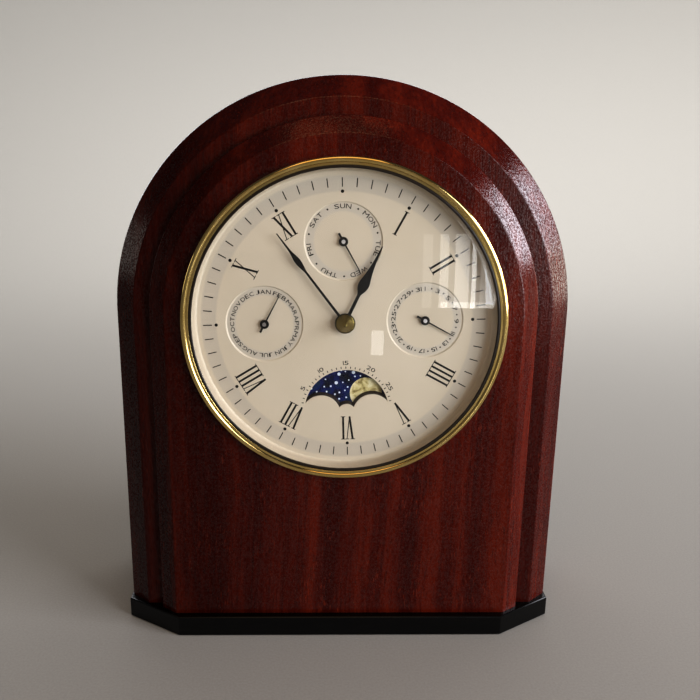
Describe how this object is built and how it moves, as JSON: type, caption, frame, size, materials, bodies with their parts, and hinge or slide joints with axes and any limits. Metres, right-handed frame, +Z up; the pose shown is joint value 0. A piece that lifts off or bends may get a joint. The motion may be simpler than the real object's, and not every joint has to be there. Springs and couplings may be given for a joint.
{
  "type": "desk clock with calendar",
  "caption": "Arched wooden desk clock with a stepped front, brass bezel, weekday, month and date sub-dials and a moon disc.",
  "frame": {"origin": "middle of the clock's bounding box, on the surface it stands on", "axes": "+X to the right seen from the front, +Y towards the back (the dial faces -Y), +Z up"},
  "size_m": [0.2218, 0.1028, 0.2741],
  "materials": {
    "mahogany": "satin lacquer",
    "black_lacquer": "satin black lacquer",
    "felt": "pressed felt",
    "polished_brass": "polished, lacquered",
    "brass": "turned",
    "steel": "bright zinc",
    "glass": "polished convex mineral glass",
    "black_gasket": "matt",
    "cream_dial": "satin cream lacquer with black print",
    "black_hands": "black lacquer",
    "night_sky": "printed night sky with two moons",
    "black_plastic": "moulded, fine spark texture",
    "white_plastic": "moulded acetal",
    "cell_jacket": "plain printed jacket"
  },
  "bodies": {
    "clock_case": {"battery": "cell_jacket", "battery_contacts": "steel", "bezel": "polished_brass", "bottom_board": "mahogany", "case_body": "mahogany", "catch_magnet": "black_plastic", "centre_bush": "brass", "day_wheel_posts": "brass", "dial_plate": "cream_dial", "dial_straps": "brass", "felt_pads": "felt", "front_board": "mahogany", "glass": "glass", "glass_gasket": "black_gasket", "hex_nut": "brass", "hinge_leaves_case": "polished_brass", "hinge_pins": "steel", "hinge_screws_case": "steel", "movement_case": "black_plastic", "pillar_screws": "steel", "plinth": "black_lacquer", "plinth_screws": "steel", "strap_screws": "steel", "works_pillars": "brass", "works_plate": "black_plastic"},
    "minute_hand_set": {"minute_hand": "black_hands", "minute_arbor": "brass", "cap_nut": "polished_brass"},
    "hour_hand_set": {"hour_hand": "black_hands", "hour_pipe": "brass", "hour_wheel": "white_plastic"},
    "day_wheel_set": {"day_wheel": "white_plastic"},
    "moon_day_wheel_set": {"moon_day_wheel": "white_plastic"},
    "setting_knob_set": {"setting_knob": "black_plastic"},
    "weekday_set": {"weekday_hand": "black_hands", "weekday_arbor": "steel", "weekday_star": "white_plastic"},
    "month_set": {"month_hand": "black_hands", "month_arbor": "steel", "month_star": "white_plastic"},
    "date_set": {"date_hand": "black_hands", "date_arbor": "steel", "date_star": "white_plastic"},
    "moon_set": {"moon_disc": "night_sky", "moon_arbor": "brass", "moon_wheel": "white_plastic"},
    "rear_door_set": {"rear_door": "mahogany", "hinge_leaves_door": "polished_brass", "hinge_screws_door": "steel", "door_knob": "polished_brass", "catch_plate": "steel"},
    "weekday_button": {"weekday_corrector": "white_plastic"},
    "month_button": {"month_corrector": "white_plastic"},
    "date_button": {"date_corrector": "white_plastic"},
    "moon_button": {"moon_corrector": "white_plastic"}
  },
  "joints": [
    {"name": "minute_hand_turn", "type": "hinge", "parent": "clock_case", "child": "minute_hand_set", "pos_m": [0, -0.0416, 0.1623], "axis": [0, 1, 0], "continuous": true},
    {"name": "hour_hand_turn", "type": "hinge", "parent": "clock_case", "child": "hour_hand_set", "pos_m": [0, -0.0411, 0.1623], "axis": [0, 1, 0], "continuous": true},
    {"name": "day_wheel_turn", "type": "hinge", "parent": "clock_case", "child": "day_wheel_set", "pos_m": [0.01845, -0.0327, 0.18201], "axis": [0, 1, 0], "continuous": true},
    {"name": "moon_day_wheel_turn", "type": "hinge", "parent": "clock_case", "child": "moon_day_wheel_set", "pos_m": [-0.01514, -0.0327, 0.13994], "axis": [0, 1, 0], "continuous": true},
    {"name": "setting_knob_turn", "type": "hinge", "parent": "clock_case", "child": "setting_knob_set", "pos_m": [-0.00036, -0.012, 0.17329], "axis": [0, 1, 0], "continuous": true},
    {"name": "weekday_hand_turn", "type": "hinge", "parent": "clock_case", "child": "weekday_set", "pos_m": [-0.00125, -0.0396, 0.20008], "axis": [0, 1, 0], "continuous": true},
    {"name": "month_hand_turn", "type": "hinge", "parent": "clock_case", "child": "month_set", "pos_m": [-0.03778, -0.0396, 0.16105], "axis": [0, 1, 0], "continuous": true},
    {"name": "date_hand_turn", "type": "hinge", "parent": "clock_case", "child": "date_set", "pos_m": [0.03778, -0.0396, 0.16355], "axis": [0, 1, 0], "continuous": true},
    {"name": "moon_disc_turn", "type": "hinge", "parent": "clock_case", "child": "moon_set", "pos_m": [0.00145, -0.0364, 0.11857], "axis": [0, 1, 0], "continuous": true},
    {"name": "rear_door_swing", "type": "hinge", "parent": "clock_case", "child": "rear_door_set", "pos_m": [0.1016, 0.0437, 0.042], "axis": [0, 0, -1], "range_deg": [0, 170]},
    {"name": "weekday_button_press", "type": "slide", "parent": "clock_case", "child": "weekday_button", "axis": [0, -1, 0], "range_m": [0, 0.002], "stiffness_N_per_m": 200, "springref_m": -0.001},
    {"name": "month_button_press", "type": "slide", "parent": "clock_case", "child": "month_button", "axis": [0, -1, 0], "range_m": [0, 0.002], "stiffness_N_per_m": 200, "springref_m": -0.001},
    {"name": "date_button_press", "type": "slide", "parent": "clock_case", "child": "date_button", "axis": [0, -1, 0], "range_m": [0, 0.002], "stiffness_N_per_m": 200, "springref_m": -0.001},
    {"name": "moon_button_press", "type": "slide", "parent": "clock_case", "child": "moon_button", "axis": [0, -1, 0], "range_m": [0, 0.002], "stiffness_N_per_m": 200, "springref_m": -0.001}
  ],
  "couplings": [
    {"joint": "hour_hand_turn", "follows": "minute_hand_turn", "ratio": 0.083333},
    {"joint": "day_wheel_turn", "follows": "minute_hand_turn", "ratio": -0.041667},
    {"joint": "moon_day_wheel_turn", "follows": "minute_hand_turn", "ratio": -0.041667},
    {"joint": "setting_knob_turn", "follows": "minute_hand_turn", "ratio": -0.33333}
  ]
}
